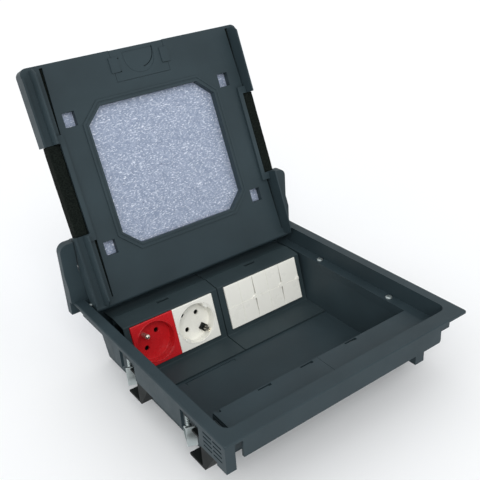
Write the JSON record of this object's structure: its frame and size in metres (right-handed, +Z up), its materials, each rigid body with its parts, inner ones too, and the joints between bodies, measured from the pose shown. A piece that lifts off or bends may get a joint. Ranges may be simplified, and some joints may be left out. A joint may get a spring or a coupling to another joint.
{
  "type": "floor socket box",
  "caption": "Square in-floor box with a hinged lid, swinging floor clamps, an angled row of mains sockets and blank data covers, and foam-lined cable outlets.",
  "frame": {"origin": "point on the tub's underside, below the middle of the floor flange", "axes": "+Z up out of the floor, +Y from the latch edge to the hinge edge, +X to the right"},
  "size_m": [0.2594, 0.3132, 0.2752],
  "materials": {
    "grey_plastic": "fine moulded texture",
    "black_plastic": "matte",
    "carrier_plastic": "fine moulded texture",
    "red_plastic": "glossy",
    "white_plastic": "glossy",
    "zinc_steel": "zinc plated",
    "spangled_steel": "galvanised, mottled",
    "brass": "nickel plated brass",
    "foam": "open-cell foam"
  },
  "bodies": {
    "box": {"floor_frame": "grey_plastic", "tub": "grey_plastic", "ledge_panel_left": "grey_plastic", "ledge_panel_right": "grey_plastic", "module_carrier_left": "carrier_plastic", "module_carrier_right": "carrier_plastic", "support_frame_left": "black_plastic", "support_frame_right": "black_plastic", "red_socket_plate": "red_plastic", "red_socket_well": "red_plastic", "red_socket_body": "black_plastic", "white_socket_plate": "white_plastic", "white_socket_well": "white_plastic", "white_socket_body": "black_plastic", "earth_pin": "brass", "earth_clips": "brass", "data_cover_left": "white_plastic", "data_cover_middle": "white_plastic", "data_cover_right": "white_plastic", "lid_stops": "grey_plastic", "clamp_housings": "black_plastic"},
    "lid": {"lid_shell": "grey_plastic", "lid_side_rims": "grey_plastic", "window_border": "grey_plastic", "lid_steel_plate": "spangled_steel", "cable_foam_left": "foam", "cable_foam_right": "foam", "hinge_pins": "zinc_steel"},
    "latch": {"latch_slider": "grey_plastic"},
    "clamp_screw_1": {"clamp_screw_1": "zinc_steel"},
    "clamp_nut_1": {"clamp_nut_1": "zinc_steel"},
    "clamp_claw_1": {"clamp_claw_1": "zinc_steel"},
    "clamp_screw_2": {"clamp_screw_2": "zinc_steel"},
    "clamp_nut_2": {"clamp_nut_2": "zinc_steel"},
    "clamp_claw_2": {"clamp_claw_2": "zinc_steel"},
    "clamp_screw_3": {"clamp_screw_3": "zinc_steel"},
    "clamp_nut_3": {"clamp_nut_3": "zinc_steel"},
    "clamp_claw_3": {"clamp_claw_3": "zinc_steel"},
    "clamp_screw_4": {"clamp_screw_4": "zinc_steel"},
    "clamp_nut_4": {"clamp_nut_4": "zinc_steel"},
    "clamp_claw_4": {"clamp_claw_4": "zinc_steel"}
  },
  "joints": [
    {"name": "lid_hinge", "type": "hinge", "parent": "box", "child": "lid", "pos_m": [0, 0.109, 0.0678], "axis": [1, 0, 0], "range_deg": [0, 111.35]},
    {"name": "latch_slide", "type": "slide", "parent": "lid", "child": "latch", "axis": [0, 0.3641, 0.9314], "range_m": [0, 0.002]},
    {"name": "clamp_screw_turn_1", "type": "hinge", "parent": "box", "child": "clamp_screw_1", "pos_m": [-0.1125, -0.0469, 0.05], "axis": [0, 0, -1], "range_deg": [0, 3345]},
    {"name": "clamp_climb_1", "type": "slide", "parent": "box", "child": "clamp_nut_1", "axis": [0, 0, 1], "range_m": [0, 0.0065]},
    {"name": "claw_swing_1", "type": "hinge", "parent": "clamp_nut_1", "child": "clamp_claw_1", "pos_m": [-0.1125, -0.0469, 0.025], "axis": [0, 0, 1], "range_deg": [-68, 15]},
    {"name": "clamp_screw_turn_2", "type": "hinge", "parent": "box", "child": "clamp_screw_2", "pos_m": [-0.1125, 0.0491, 0.05], "axis": [0, 0, -1], "range_deg": [0, 3345]},
    {"name": "clamp_climb_2", "type": "slide", "parent": "box", "child": "clamp_nut_2", "axis": [0, 0, 1], "range_m": [0, 0.0065]},
    {"name": "claw_swing_2", "type": "hinge", "parent": "clamp_nut_2", "child": "clamp_claw_2", "pos_m": [-0.1125, 0.0491, 0.025], "axis": [0, 0, 1], "range_deg": [-68, 15]},
    {"name": "clamp_screw_turn_3", "type": "hinge", "parent": "box", "child": "clamp_screw_3", "pos_m": [0.1125, -0.0469, 0.05], "axis": [0, 0, -1], "range_deg": [0, 3345]},
    {"name": "clamp_climb_3", "type": "slide", "parent": "box", "child": "clamp_nut_3", "axis": [0, 0, 1], "range_m": [0, 0.0065]},
    {"name": "claw_swing_3", "type": "hinge", "parent": "clamp_nut_3", "child": "clamp_claw_3", "pos_m": [0.1125, -0.0469, 0.025], "axis": [0, 0, 1], "range_deg": [-15, 68]},
    {"name": "clamp_screw_turn_4", "type": "hinge", "parent": "box", "child": "clamp_screw_4", "pos_m": [0.1125, 0.0491, 0.05], "axis": [0, 0, -1], "range_deg": [0, 3345]},
    {"name": "clamp_climb_4", "type": "slide", "parent": "box", "child": "clamp_nut_4", "axis": [0, 0, 1], "range_m": [0, 0.0065]},
    {"name": "claw_swing_4", "type": "hinge", "parent": "clamp_nut_4", "child": "clamp_claw_4", "pos_m": [0.1125, 0.0491, 0.025], "axis": [0, 0, 1], "range_deg": [-15, 68]}
  ],
  "couplings": [
    {"joint": "clamp_screw_turn_1", "follows": "clamp_climb_1", "rad_per_m": 8976},
    {"joint": "clamp_screw_turn_2", "follows": "clamp_climb_2", "rad_per_m": 8976},
    {"joint": "clamp_screw_turn_3", "follows": "clamp_climb_3", "rad_per_m": 8976},
    {"joint": "clamp_screw_turn_4", "follows": "clamp_climb_4", "rad_per_m": 8976}
  ]
}
